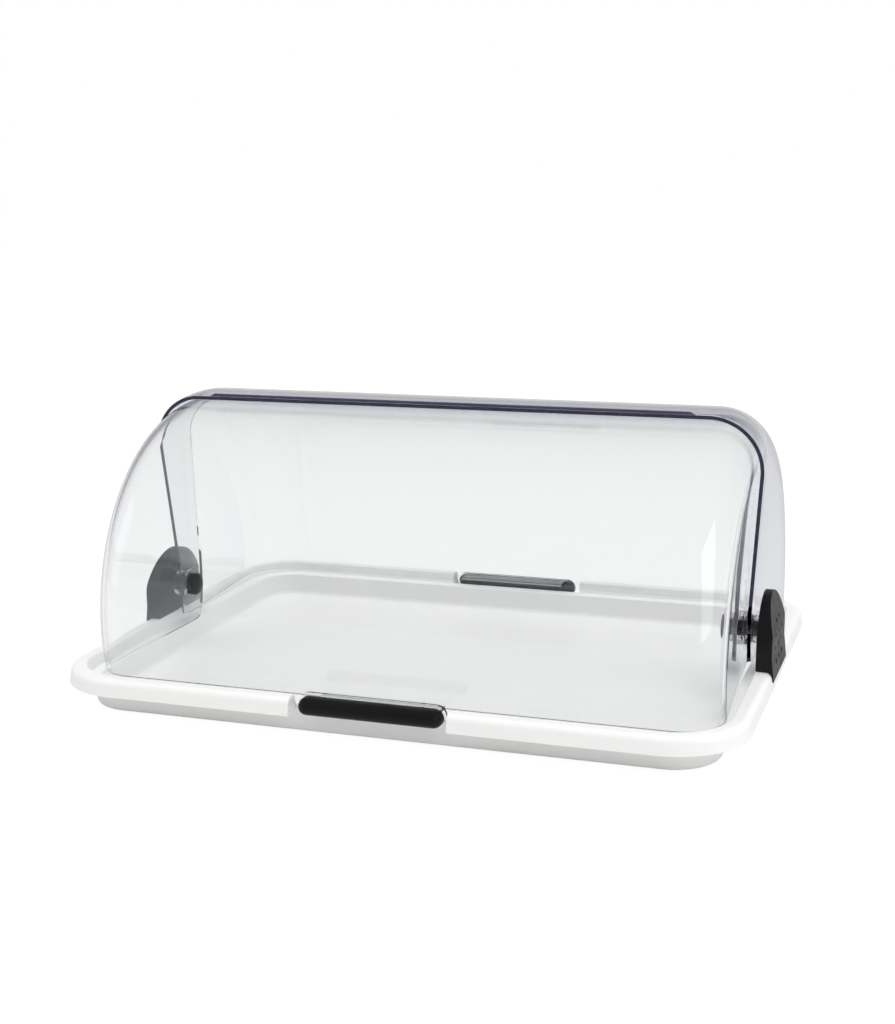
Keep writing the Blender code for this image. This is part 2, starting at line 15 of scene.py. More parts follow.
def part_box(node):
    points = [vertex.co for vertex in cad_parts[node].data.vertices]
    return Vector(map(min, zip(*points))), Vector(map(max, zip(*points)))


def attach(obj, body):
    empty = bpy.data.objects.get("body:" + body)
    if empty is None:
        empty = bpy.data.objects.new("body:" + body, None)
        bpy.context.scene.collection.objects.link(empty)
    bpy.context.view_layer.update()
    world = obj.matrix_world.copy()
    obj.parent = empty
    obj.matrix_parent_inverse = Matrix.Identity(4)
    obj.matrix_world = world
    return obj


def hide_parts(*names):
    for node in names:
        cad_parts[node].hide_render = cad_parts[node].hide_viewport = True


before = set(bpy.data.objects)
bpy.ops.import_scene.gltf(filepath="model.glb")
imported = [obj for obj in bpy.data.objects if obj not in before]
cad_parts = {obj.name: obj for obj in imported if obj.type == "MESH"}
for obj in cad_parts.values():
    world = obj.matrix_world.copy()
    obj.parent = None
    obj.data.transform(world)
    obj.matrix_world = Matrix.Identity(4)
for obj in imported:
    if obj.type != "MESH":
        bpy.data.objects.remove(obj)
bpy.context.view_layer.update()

# Tray
TRAY_WIDTH, TRAY_DEPTH, RIM_HEIGHT = 0.560, 0.416, 0.034
TRAY_CORNER_RADIUS, TRAY_WALL = 0.060, 0.003
RIM_WIDTH, RIM_DRAFT, RIM_EDGE_RADIUS, SKIRT_HEIGHT = 0.0145, 0.0022, 0.0045, 0.0137
RIM_SOFT_RADIUS, BODY_TOP_INSET, BODY_FOOT_INSET = 0.0062, 0.0205, 0.0215
LEDGE_DROP, LEDGE_STEP_LEAN, LEDGE_WIDTH = 0.0097, 0.003, 0.009
BOWL_LEAN, BOWL_FILLET = 0.003, 0.005
NOTCH_HALF_LENGTH, NOTCH_DEPTH = 0.06375, 0.0178
FOOT_RADIUS, FOOT_THICKNESS, FOOT_INSET = 0.009, 0.0012, 0.062

# Covers
PIVOT_HEIGHT, COVER_WALL, COVER_DISH, HUB_RADIUS = 0.0585, 0.003, 0.0102, 0.0165
REAR_HALF, REAR_RADIUS, REAR_EDGE_RADIUS, REAR_LOBE = 0.2673, 0.1783, 0.044, 0.0267
FRONT_HALF, FRONT_RADIUS, FRONT_EDGE_RADIUS, FRONT_LOBE = 0.2607, 0.1717, 0.034, 0.0339
COVER_OVERLAP, COVER_EDGE_LEAN = 0.0126, 0.077
RIDGE_HALF, RIDGE_HEIGHT, RIDGE_THICKNESS = 0.210, 0.0025, 0.003

# Handles, pins and brackets
GRIP_LENGTH, GRIP_HEIGHT, GRIP_DEPTH, GRIP_FRONT = 0.1165, 0.0142, 0.012, 0.2058
GRIP_BULGE_DEPTH, GRIP_BULGE_HEIGHT = 0.0085, 0.0067
PLATE_THICKNESS, PLATE_LENGTH, PLATE_HEIGHT = 0.0027, 0.1195, 0.0164
WEB_HALF, WEB_THICKNESS, WEB_LIFT = 0.050, 0.0027, 0.0004
PIN_RADIUS, PIN_HEAD_RADIUS, PIN_HEAD_HEIGHT = 0.0065, 0.010, 0.0058
PIN_TAIL_RADIUS, PIN_TAIL_LENGTH = 0.004, 0.009
SPACER_RADIUS, COLLAR_RADIUS = 0.014, 0.0115
SCREW_RADIUS, SCREW_HEAD_RADIUS, SCREW_HEAD_HEIGHT, SCREW_LENGTH = 0.0015, 0.0025, 0.0018, 0.010
BRACKET_INNER, BRACKET_DEPTH, BRACKET_HEIGHT = 0.2652, 0.076, 0.057
BRACKET_THICKNESS, BRACKET_CROWN_THICKNESS = 0.0126, 0.0066
BRACKET_FLARE, BRACKET_SHOULDER, BRACKET_SKIRT_DROP = 0.011, 0.029, 0.008
BRACKET_SKIRT_THICKNESS, BRACKET_SKIRT_GAP = 0.0008, 0.0006
DIMPLE_PITCH = 0.016
DIMPLE_ROWS = ((0.0035, 3), (0.0142, 3), (0.0249, 3), (0.0356, 2))
GAP = 0.0003
CUT_OVERRUN = 0.004
RIDGE_TAPER = 0.0045
TAB_BITE_IN_WALL, TAB_BITE_IN_PLATE = 0.0015, 0.001
EDGE_ZONE = 0.0006

HALF_TURN, QUARTER_TURN = math.pi, math.pi / 2
SMOOTH_BELOW = math.radians(38)
SIDES = (("left", -1), ("right", 1))
ENDS = (("front", -1), ("rear", 1))
BRACKET_BASE = RIM_HEIGHT + GAP
BRACKET_TOP = BRACKET_BASE + BRACKET_HEIGHT
FLOOR_TOP = FOOT_THICKNESS + GAP + TRAY_WALL
SKIRT_BOTTOM = RIM_HEIGHT - SKIRT_HEIGHT
GRIP_BOTTOM = RIM_HEIGHT - GRIP_HEIGHT
PLATE_FRONT = GRIP_FRONT - GRIP_DEPTH - GAP
PLATE_BACK = PLATE_FRONT - PLATE_THICKNESS


# Outlines

def arc(a, b, radius, start, end, steps):
    """Points on an arc about (a, b)."""
    turns = [start + (end - start) * i / steps for i in range(steps + 1)]
    return [(a + radius * math.cos(t), b + radius * math.sin(t)) for t in turns]


def circle(radius, steps):
    return arc(0, 0, radius, 0, 2 * HALF_TURN, steps)[:-1]


def stadium(length, height, middle, steps=16):
    radius = height / 2
    reach = length / 2 - radius
    right = arc(reach, middle, radius, -QUARTER_TURN, QUARTER_TURN, steps)
    return right + arc(-reach, middle, radius, QUARTER_TURN, 3 * QUARTER_TURN, steps)


def softened(corners, steps):
    """A path through (a, b, radius) corners, each rounded by its own radius."""
    path = []
    for i, (a, b, radius) in enumerate(corners):
        here = Vector((a, b))
        if radius <= 0 or i in (0, len(corners) - 1):
            path.append((a, b))
            continue
        before = Vector(corners[i - 1][:2]) - here
        after = Vector(corners[i + 1][:2]) - here
        half = before.angle(after) / 2
        reach = min(radius / math.tan(half), before.length * 0.49, after.length * 0.49)
        radius = reach * math.tan(half)
        middle = here + (before.normalized() + after.normalized()).normalized() * radius / math.sin(half)
        first = (here + before.normalized() * reach - middle).normalized()
        last = (here + after.normalized() * reach - middle).normalized()
        for step in range(steps + 1):
            path.append(tuple(middle + first.slerp(last, step / steps) * radius))
    return path


def shifted(points, distance):
    """The path of (inset, height) points moved sideways by distance, with mitred corners."""
    normals = []
    for (a, b), (c, d) in zip(points, points[1:]):
        length = math.hypot(c - a, d - b)
        normals.append(Vector(((d - b) / length, (a - c) / length)))
    moved = []
    for i, point in enumerate(points):
        both = normals[max(i - 1, 0)] + normals[min(i, len(normals) - 1)]
        moved.append(tuple(Vector(point) + both * (2 * distance / both.length_squared)))
    return moved


# Forms

def skin(form, rings, closed=True):
    """Faces between neighbouring rings of points."""
    for ring, other in zip(rings, rings[1:]):
        count = len(ring)
        for i in range(count if closed else count - 1):
            j = (i + 1) % count
            form.faces.new((ring[i], ring[j], other[j], other[i]))


def prism(outline, start, end, place):
    """A flat outline drawn out from start to end; place(a, b, c) gives each point."""
    form = bmesh.new()
    rings = [[form.verts.new(place(a, b, c)) for a, b in outline] for c in (start, end)]
    skin(form, rings)
    form.faces.new(rings[0])
    form.faces.new(rings[1])
    return form


def along_x(a, b, c):
    return (c, a, b)


def along_y(a, b, c):
    return (a, c, b)


def turned(profile, steps, matrix):
    """A closed outline of (x, radius) points turned about the X axis, then placed."""
    form = bmesh.new()
    rings = []
    for x, radius in profile:
        if radius <= 0:
            rings.append([form.verts.new((x, 0, 0))] * steps)
            continue
        rings.append([form.verts.new((x, radius * math.sin(t), radius * math.cos(t)))
                      for t in (2 * HALF_TURN * i / steps for i in range(steps))])
    for ring, other in zip(rings, rings[1:] + rings[:1]):
        for i in range(steps):
            j = (i + 1) % steps
            corners = []
            for vert in (ring[i], other[i], other[j], ring[j]):
                if vert not in corners:
                    corners.append(vert)
            if len(corners) > 2:
                form.faces.new(corners)
    bmesh.ops.transform(form, matrix=matrix, verts=form.verts)
    return form


def joined(*forms):
    """One form that holds all of these, each as its own closed body."""
    whole = bmesh.new()
    for form in forms:
        mesh = bpy.data.meshes.new("joined_part")
        form.to_mesh(mesh)
        form.free()
        whole.from_mesh(mesh)
        bpy.data.meshes.remove(mesh)
    return whole


def make_piece(name, form, materials, recalc=True):
    if recalc:
        bmesh.ops.recalc_face_normals(form, faces=form.faces)
    mesh = bpy.data.meshes.new(name)
    form.to_mesh(mesh)
    form.free()
    for material in materials:
        mesh.materials.append(material)
    piece = bpy.data.objects.new(name, mesh)
    bpy.context.scene.collection.objects.link(piece)
    return piece


def cut(piece, form, operation="DIFFERENCE"):
    """Cuts, joins or trims a piece with a helper form, which is then removed."""
    helper = make_piece(piece.name + "_helper", form, [])
    modifier = piece.modifiers.new("shape", "BOOLEAN")
    modifier.object = helper
    modifier.operation = operation
    modifier.solver = "EXACT"
    settle(piece)
    mesh = helper.data
    bpy.data.objects.remove(helper)
    bpy.data.meshes.remove(mesh)


def settle(piece):
    """Turns a piece's modifiers into plain faces."""
    bpy.context.view_layer.update()
    graph = bpy.context.evaluated_depsgraph_get()
    mesh = bpy.data.meshes.new_from_object(piece.evaluated_get(graph))
    old = piece.data
    piece.modifiers.clear()
    piece.data = mesh
    mesh.name = piece.name
    bpy.data.meshes.remove(old)


def round_edges(piece, width, segments, above):
    """Rounds every edge whose faces meet at more than this angle."""
    bevel = piece.modifiers.new("soft_edges", "BEVEL")
    bevel.width = width
    bevel.segments = segments
    bevel.limit_method = "ANGLE"
    bevel.angle_limit = math.radians(above)
    settle(piece)


def finish_piece(piece, body, nodes):
    """Shades a piece, ties it to its body and lets it stand for its nodes of the model."""
    piece.data.shade_smooth()
    piece.data.set_sharp_from_angle(angle=SMOOTH_BELOW)
    weighted = piece.modifiers.new("even_shading", "WEIGHTED_NORMAL")
    weighted.keep_sharp = True
    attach(piece, body)
    if nodes:
        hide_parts(*nodes)
    return piece


# Shared effects for the materials

def shader_group(name, inputs, outputs):
    """An empty node group with named sockets, and its input and output ends."""
    group = bpy.data.node_groups.new(name, "ShaderNodeTree")
    for label, kind, value in inputs:
        socket = group.interface.new_socket(label, in_out="INPUT", socket_type="NodeSocket" + kind)
        socket.default_value = value
    for label, kind in outputs:
        group.interface.new_socket(label, in_out="OUTPUT", socket_type="NodeSocket" + kind)
    start = group.nodes.new("NodeGroupInput")
    end = group.nodes.new("NodeGroupOutput")
    return group, start.outputs, end.inputs


def add_node(tree, kind, settings=None, **inputs):
    """A node with its settings, and its inputs given as values or as sockets to link."""
    node = tree.nodes.new("ShaderNode" + kind)
    for key, value in (settings or {}).items():
        setattr(node, key, value)
    for key, value in inputs.items():
        socket = node.inputs[int(key[1:])] if key[0] == "i" and key[1:].isdigit() else \
            node.inputs[key.replace("_", " ")]
        if isinstance(value, bpy.types.NodeSocket):
            tree.links.new(value, socket)
        else:
            socket.default_value = value
    return node


def noise(tree, scale, detail=3.0, stretch=None):
    """Noise in the piece's own coordinates, stretched along its axes where stretch is given."""
    place = add_node(tree, "TexCoord").outputs["Object"]
    if stretch:
        place = add_node(tree, "Mapping", Vector=place, Scale=stretch).outputs["Vector"]
    return add_node(tree, "TexNoise", Vector=place, Scale=scale, Detail=detail).outputs["Fac"]


def ramp(tree, value, low, high, to_low, to_high):
    return add_node(tree, "MapRange", i0=value, i1=low, i2=high, i3=to_low, i4=to_high).outputs["Result"]


def tone_drift_group():
    """Lets a colour drift slightly over a surface, as pigment and light dirt do."""
    group, given, result = shader_group(
        "tone_drift",
        [("Colour", "Color", (0.8, 0.8, 0.8, 1)), ("Deep Colour", "Color", (0.7, 0.7, 0.7, 1)),
         ("Scale", "Float", 12.0), ("Share", "Float", 0.5)],
        [("Colour", "Color")])
    broad = noise(group, given["Scale"], 4.0)
    mask = ramp(group, broad, 0.35, 0.70, 0.0, given["Share"])
    mixed = add_node(group, "Mix", {"data_type": "RGBA"}, i0=mask, i6=given["Colour"],
                     i7=given["Deep Colour"])
    group.links.new(mixed.outputs[2], result["Colour"])
    return group


def moulded_grain_group():
    """The fine grain of a moulded surface over a slow waviness, as a height."""
    group, given, result = shader_group(
        "moulded_grain",
        [("Grain Scale", "Float", 900.0), ("Wave Scale", "Float", 20.0), ("Wave Share", "Float", 0.4)],
        [("Height", "Float")])
    fine = noise(group, given["Grain Scale"], 2.0)
    slow = noise(group, given["Wave Scale"], 1.0)
    mixed = add_node(group, "Mix", {"data_type": "FLOAT"}, i0=given["Wave Share"], i2=fine, i3=slow)
    group.links.new(mixed.outputs[0], result["Height"])
    return group


def wipe_marks_group():
    """Roughness that varies in long soft streaks, as wiping and handling leave it."""
    group, given, result = shader_group(
        "wipe_marks",
        [("Roughness", "Float", 0.3), ("Spread", "Float", 0.1), ("Scale", "Float", 14.0)],
        [("Roughness", "Float")])
    streaks = noise(group, given["Scale"], 2.0, (1.0, 3.0, 3.0))
    mask = ramp(group, streaks, 0.35, 0.80, 0.0, 1.0)
    spread = add_node(group, "Math", {"operation": "MULTIPLY"}, i0=mask, i1=given["Spread"])
    total = add_node(group, "Math", {"operation": "ADD"}, i0=spread.outputs[0], i1=given["Roughness"])
    group.links.new(total.outputs[0], result["Roughness"])
    return group


def edge_wear_group():
    """Rubs a lighter colour along outer edges, broken up by noise."""
    group, given, result = shader_group(
        "edge_wear",
        [("Colour", "Color", (0.02, 0.02, 0.02, 1)), ("Worn Colour", "Color", (0.1, 0.1, 0.1, 1)),
         ("Amount", "Float", 0.6)],
        [("Colour", "Color")])
    edges = add_node(group, "NewGeometry").outputs["Pointiness"]
    mask = ramp(group, edges, 0.515, 0.60, 0.0, given["Amount"])
    broken = ramp(group, noise(group, 260.0), 0.35, 0.65, 0.35, 1.0)
    share = add_node(group, "Math", {"operation": "MULTIPLY"}, i0=mask, i1=broken)
    mixed = add_node(group, "Mix", {"data_type": "RGBA"}, i0=share.outputs[0], i6=given["Colour"],
                     i7=given["Worn Colour"])
    group.links.new(mixed.outputs[2], result["Colour"])
    return group


def use_group(tree, group, **inputs):
    node = tree.nodes.new("ShaderNodeGroup")
    node.node_tree = group
    for key, value in inputs.items():
        socket = node.inputs[key.replace("_", " ")]
        if isinstance(value, bpy.types.NodeSocket):
            tree.links.new(value, socket)
        else:
            socket.default_value = value
    return node.outputs[0]


def new_material(name):
    material = bpy.data.materials.new(name)
    material.use_nodes = True
    tree = material.node_tree
    return material, tree, tree.nodes["Principled BSDF"]


def moulded_plastic(name, colour, deep, worn, rough, spread, grain, bump, tone=(12.0, 0.5), wear=0.5,
                    shine=0.5):
    """An opaque moulded plastic: drifting tone, worn edges, streaked gloss and moulded grain."""
    material, tree, shader = new_material(name)
    shader.inputs["Specular IOR Level"].default_value = shine
    tinted = use_group(tree, TONE_DRIFT, Colour=colour, Deep_Colour=deep, Scale=tone[0], Share=tone[1])
    rubbed = use_group(tree, EDGE_WEAR, Colour=tinted, Worn_Colour=worn, Amount=wear)
    tree.links.new(rubbed, shader.inputs["Base Color"])
    gloss = use_group(tree, WIPE_MARKS, Roughness=rough, Spread=spread, Scale=18.0)
    tree.links.new(gloss, shader.inputs["Roughness"])
    height = use_group(tree, MOULDED_GRAIN, Grain_Scale=grain[0], Wave_Scale=grain[1], Wave_Share=grain[2])
    bumps = add_node(tree, "Bump", Height=height, Strength=bump[0], Distance=bump[1])
    tree.links.new(bumps.outputs["Normal"], shader.inputs["Normal"])
    return material


def clear_plastic(name, tint, grazing_shade, mirror, absorb, density):
    """Clear plastic that lets lamps through, with painted shade: its tint turns a lavender grey where the
    wall is seen along itself.
    """
    material, tree, shader = new_material(name)
    shader.inputs["Specular Tint"].default_value = mirror
    # Painted shade: the base colour is mixed towards a lavender grey by the view angle, where the wall is
    # seen along itself.
    facing = add_node(tree, "LayerWeight", Blend=0.5).outputs["Facing"]
    along = ramp(tree, facing, 0.58, 0.92, 0.0, 1.0)
    toned = add_node(tree, "Mix", {"data_type": "RGBA"}, i0=along, i6=tint, i7=grazing_shade)
    tree.links.new(toned.outputs[2], shader.inputs["Base Color"])
    shader.inputs["Transmission Weight"].default_value = 1.0
    shader.inputs["IOR"].default_value = 1.49
    gloss = use_group(tree, WIPE_MARKS, Roughness=0.003, Spread=0.010, Scale=9.0)
    tree.links.new(gloss, shader.inputs["Roughness"])
    height = use_group(tree, MOULDED_GRAIN, Grain_Scale=40.0, Wave_Scale=9.0, Wave_Share=0.95)
    bumps = add_node(tree, "Bump", Height=height, Strength=0.04, Distance=0.0006)
    tree.links.new(bumps.outputs["Normal"], shader.inputs["Normal"])
    rays = add_node(tree, "LightPath").outputs
    open_rays = add_node(tree, "Math", {"operation": "MAXIMUM"}, i0=rays["Is Shadow Ray"],
                         i1=rays["Is Diffuse Ray"])
    clear = add_node(tree, "BsdfTransparent", Color=(0.988, 0.99, 0.99, 1))
    mixed = add_node(tree, "MixShader", i0=open_rays.outputs[0], i1=shader.outputs[0],
                     i2=clear.outputs[0])
    output = tree.nodes["Material Output"]
    tree.links.new(mixed.outputs[0], output.inputs["Surface"])
    inside = add_node(tree, "VolumeAbsorption", Color=absorb, Density=density)
    tree.links.new(inside.outputs[0], output.inputs["Volume"])
    return material


TONE_DRIFT = tone_drift_group()
MOULDED_GRAIN = moulded_grain_group()
WIPE_MARKS = wipe_marks_group()
EDGE_WEAR = edge_wear_group()

WHITE = moulded_plastic("white_moulded", (0.89, 0.892, 0.872, 1), (0.865, 0.868, 0.852, 1),
                        (0.90, 0.90, 0.89, 1), 0.30, 0.03, (700.0, 14.0, 0.6), (0.06, 0.0002), wear=0.2)
BLACK = moulded_plastic("black_satin", (0.005, 0.005, 0.005, 1), (0.003, 0.003, 0.004, 1),
                        (0.030, 0.030, 0.032, 1), 0.38, 0.12, (1400.0, 60.0, 0.25), (0.22, 0.0003),
                        shine=0.20)
RUBBER = moulded_plastic("grey_rubber", (0.30, 0.30, 0.30, 1), (0.24, 0.24, 0.24, 1),
                         (0.36, 0.36, 0.36, 1), 0.70, 0.15, (1800.0, 90.0, 0.2), (0.35, 0.0003))
# Painted shade: an opaque dark violet on the rear cover's cut free edge, standing in for the darkness that
# light piping gives the edge of clear plastic.
EDGE = moulded_plastic("painted_shade_cut_edge", (0.022, 0.022, 0.046, 1), (0.016, 0.016, 0.036, 1),
                       (0.050, 0.052, 0.095, 1), 0.25, 0.12, (900.0, 40.0, 0.3), (0.12, 0.0003), shine=0.25)
# Painted shade: the finger ridge is clear plastic, given an opaque dark violet in place of the darkening
# light gives it.
RIDGE = moulded_plastic("painted_shade_ridge", (0.056, 0.052, 0.098, 1), (0.042, 0.039, 0.078, 1),
                        (0.120, 0.115, 0.180, 1), 0.20, 0.12, (900.0, 40.0, 0.3), (0.12, 0.0003), shine=0.3)
# The second colour here is painted shade, used where a cover's wall is seen along itself.
CLEAR = clear_plastic("clear_cover_wall", (0.955, 0.960, 0.960, 1), (0.60, 0.61, 0.72, 1),
                      (0.74, 0.75, 0.84, 1), (0.50, 0.51, 0.56, 1), 24.0)


def plated_steel(name, colour, deep):
    material, tree, shader = new_material(name)
    tinted = use_group(tree, TONE_DRIFT, Colour=colour, Deep_Colour=deep, Scale=300.0, Share=0.6)
    tree.links.new(tinted, shader.inputs["Base Color"])
    shader.inputs["Metallic"].default_value = 1.0
    gloss = use_group(tree, WIPE_MARKS, Roughness=0.30, Spread=0.15, Scale=200.0)
    tree.links.new(gloss, shader.inputs["Roughness"])
    return material


STEEL = plated_steel("zinc_plated_steel", (0.62, 0.62, 0.64, 1), (0.48, 0.48, 0.50, 1))
DARK_STEEL = plated_steel("blackened_steel", (0.045, 0.045, 0.048, 1), (0.030, 0.030, 0.032, 1))


# Tray

def tray_ring(form, inset, height, steps=20):
    radius = TRAY_CORNER_RADIUS - inset
    half_x = TRAY_WIDTH / 2 - inset - radius
    half_y = TRAY_DEPTH / 2 - inset - radius
    ring = []
    for quarter, (x, y) in enumerate(((1, 1), (-1, 1), (-1, -1), (1, -1))):
        start = quarter * QUARTER_TURN
        ring += arc(x * half_x, y * half_y, radius, start, start + QUARTER_TURN, steps)
    return [form.verts.new((x, y, height)) for x, y in ring]


def tray_corners():
    """The tray's upper surface as (inset, height, rounding), from the skirt to the floor."""
    ledge = RIM_WIDTH + LEDGE_STEP_LEAN
    foot = ledge + LEDGE_WIDTH + BOWL_LEAN
    low = RIM_HEIGHT - LEDGE_DROP
    return [(0, SKIRT_BOTTOM, 0), (RIM_DRAFT, RIM_HEIGHT, RIM_SOFT_RADIUS),
            (RIM_WIDTH, RIM_HEIGHT, 0.0016), (ledge, low, 0.0014), (ledge + LEDGE_WIDTH, low, 0.0016),
            (foot, FLOOR_TOP, BOWL_FILLET), (foot + BOWL_FILLET * 3, FLOOR_TOP, 0)]


def build_tray():
    corners = tray_corners()
    upper = softened(corners, 7)
    plain = shifted([point[:2] for point in corners], TRAY_WALL)
    plain[0] = (TRAY_WALL, SKIRT_BOTTOM)
    plain[4] = (BODY_TOP_INSET, plain[4][1])
    plain[5] = (BODY_FOOT_INSET, plain[5][1])
    lower = softened([(*point, corner[2] * 0.6) for point, corner in zip(plain, corners)], 4)
    form = bmesh.new()
    rings = [tray_ring(form, a, b) for a, b in reversed(upper)]
    rings += [tray_ring(form, a, b) for a, b in lower]
    skin(form, rings)
    form.faces.new(rings[0])
    form.faces.new(rings[-1])
    tray = make_piece("tray_moulding", form, [WHITE])
    low, high = SKIRT_BOTTOM - CUT_OVERRUN, RIM_HEIGHT + CUT_OVERRUN
    notch = [(-NOTCH_HALF_LENGTH, low), (NOTCH_HALF_LENGTH, low), (NOTCH_HALF_LENGTH, high),
             (-NOTCH_HALF_LENGTH, high)]
    inner, outer = TRAY_DEPTH / 2 - NOTCH_DEPTH, TRAY_DEPTH / 2 + CUT_OVERRUN
    for _, sign in ENDS:
        cut(tray, prism(notch, sign * inner, sign * outer, along_y))
    round_edges(tray, width=0.0007, segments=3, above=42)
    finish_piece(tray, "base", ["tray"])


def build_feet():
    for end, y_sign in ENDS:
        for side, x_sign in SIDES:
            centre = Vector((x_sign * (TRAY_WIDTH / 2 - FOOT_INSET),
                             y_sign * (TRAY_DEPTH / 2 - FOOT_INSET), 0))
            rim = FOOT_RADIUS - 0.0004
            profile = [(0, 0), (0, rim), (0.0003, FOOT_RADIUS), (FOOT_THICKNESS - 0.0003, FOOT_RADIUS),
                       (FOOT_THICKNESS, rim), (FOOT_THICKNESS, 0)]
            place = Matrix.Translation(centre) @ Matrix.Rotation(-QUARTER_TURN, 4, "Y")
            foot = make_piece(f"{end}_{side}_foot_pad", turned(profile, 40, place), [RUBBER])
            finish_piece(foot, "base", [f"foot_{end}_{side}"])


# Covers

def cover_rows(half, radius, edge_radius, lobe):
    """The wall's outer section as (x, radius from the pivot), from one lobe to the other."""
    slope = COVER_DISH / (radius - HUB_RADIUS)
    lean = math.atan(slope)
    side = half - slope * edge_radius - edge_radius * math.hypot(1, slope)
    edge = arc(side, radius - edge_radius, edge_radius, -lean, QUARTER_TURN, 18)
    first = edge[0][1]
    rows = []
    for i in range(10):
        rho = lobe + (first - lobe) * i / 10
        rows.append((half - COVER_DISH + slope * (rho - HUB_RADIUS), rho))
    rows += edge
    crown = [(side * (1 - i / 6), radius) for i in range(1, 12)]
    return rows + crown + [(-x, rho) for x, rho in reversed(rows)]


def free_turn(rho):
    """The angle about the pivot where a cover's leaning free edge starts at this radius."""
    return math.acos(COVER_OVERLAP / (rho * math.hypot(1, COVER_EDGE_LEAN))) - math.atan(COVER_EDGE_LEAN)


def lobe_patch(lobe, turns):
    """The side wall inside the lobe's radius: its flat points and its triangles."""
    lean = COVER_EDGE_LEAN
    square = 1 + lean * lean
    reach = COVER_OVERLAP * lean
    drop = (-reach - math.sqrt(reach ** 2 + square * (lobe ** 2 - COVER_OVERLAP ** 2))) / square
    start = math.atan2(drop, COVER_OVERLAP + lean * drop)
    border = [(lobe * math.cos(t), lobe * math.sin(t)) for t in turns]
    border += arc(0, 0, lobe, -QUARTER_TURN, start, 8)[1:]
    top = border[0]
    bottom = border[-1]
    border += [(bottom[0] + (top[0] - bottom[0]) * i / 8, bottom[1] + (top[1] - bottom[1]) * i / 8)
               for i in range(1, 8)]
    bore = circle(PIN_RADIUS + 0.0001, 40)
    inside = [point for rho in (0.0095, 0.0130, HUB_RADIUS, 0.0215)
              for point in circle(rho, 40) if rho < lobe - 0.002
              and point[0] < COVER_OVERLAP + lean * point[1] - 0.001]
    points = border + bore + inside
    count = len(border)
    edges = [(i, (i + 1) % count) for i in range(count)]
    edges += [(count + i, count + (i + 1) % len(bore)) for i in range(len(bore))]
    flat, _, faces, *_ = delaunay_2d_cdt([Vector(p) for p in points], edges, [], 0, 1e-7)
    kept = [face for face in faces
            if sum((flat[i] for i in face), Vector((0, 0))).length / 3 > PIN_RADIUS]
    return flat, kept


def cover_skin(half, radius, edge_radius, lobe, sign):
    """The outer surface of a cover as one sheet, facing outward."""
    form = bmesh.new()

    def place(x, b, height):
        return form.verts.new((x, -sign * b, PIVOT_HEIGHT + height))

    rings = []
    turns_at = {}
    for x, rho in cover_rows(half, radius, edge_radius, lobe):
        start = free_turn(rho)
        end = HALF_TURN + math.asin(lobe / rho)
        turns = [start + (end - start) * i / 96 for i in range(97)]
        turns_at[rho] = turns
        rings.append([place(x, rho * math.cos(t), rho * math.sin(t)) for t in turns])
    skin(form, rings, closed=False)
    slope = COVER_DISH / (radius - HUB_RADIUS)
    flat, faces = lobe_patch(lobe, turns_at[lobe])
    for x_sign in (-1, 1):
        verts = []
        for point in flat:
            depth = half - COVER_DISH + slope * max(point.length - HUB_RADIUS, 0)
            verts.append(place(x_sign * depth, point.x, point.y))
        for face in faces:
            form.faces.new([verts[i] for i in face])
    bmesh.ops.remove_doubles(form, verts=form.verts, dist=0.00002)
    bmesh.ops.recalc_face_normals(form, faces=form.faces)
    form.faces.ensure_lookup_table()
    crown = max(form.faces, key=lambda face: face.calc_center_median().z)
    if crown.normal.z < 0:
        bmesh.ops.reverse_faces(form, faces=form.faces)
    return form


def mark_free_edge(cover, sign):
    """Gives the rim faces of the leaning free edge the cut edge's painted dark violet shade, and the rest
    the wall's clear material.
    """
    for face in cover.data.polygons:
        height = face.center.z - PIVOT_HEIGHT
        off = abs(-sign * face.center.y - COVER_OVERLAP - COVER_EDGE_LEAN * height)
        face.material_index = int(face.material_index == 1 and off < EDGE_ZONE)


def build_cover(end, sign, half, radius, edge_radius, lobe):
    name = end + "_cover"
    # The rear cover's rim faces can take the painted shade of the cut edge; the front cover's stay clear.
    cover = make_piece(name + "_wall", cover_skin(half, radius, edge_radius, lobe, sign),
                       [CLEAR, EDGE if end == "rear" else CLEAR], recalc=False)
    wall = cover.modifiers.new("wall", "SOLIDIFY")
    wall.thickness = COVER_WALL
    wall.offset = -1
    wall.use_even_offset = True
    wall.use_quality_normals = True
    wall.material_offset_rim = 1
    settle(cover)
    for form in tab_forms(sign, radius, lobe):
        cut(cover, form, "UNION")
    round_edges(cover, width=0.0003, segments=2, above=60)
    mark_free_edge(cover, sign)
    finish_piece(cover, name, [name])


def tab_forms(sign, radius, lobe):
    """The handle tab that is moulded on a cover: a flat web, then the plate that carries the grip."""
    low = PIVOT_HEIGHT - lobe + WEB_LIFT
    high = low + WEB_THICKNESS
    outer = math.sqrt(radius ** 2 - (PIVOT_HEIGHT - low) ** 2)
    web = [(-WEB_HALF, low), (WEB_HALF, low), (WEB_HALF, high), (-WEB_HALF, high)]
    plate = stadium(PLATE_LENGTH, PLATE_HEIGHT, GRIP_BOTTOM + PLATE_HEIGHT / 2)
    return (prism(web, sign * (outer - TAB_BITE_IN_WALL), sign * (PLATE_BACK + TAB_BITE_IN_PLATE), along_y),
            prism(plate, sign * PLATE_BACK, sign * PLATE_FRONT, along_y))


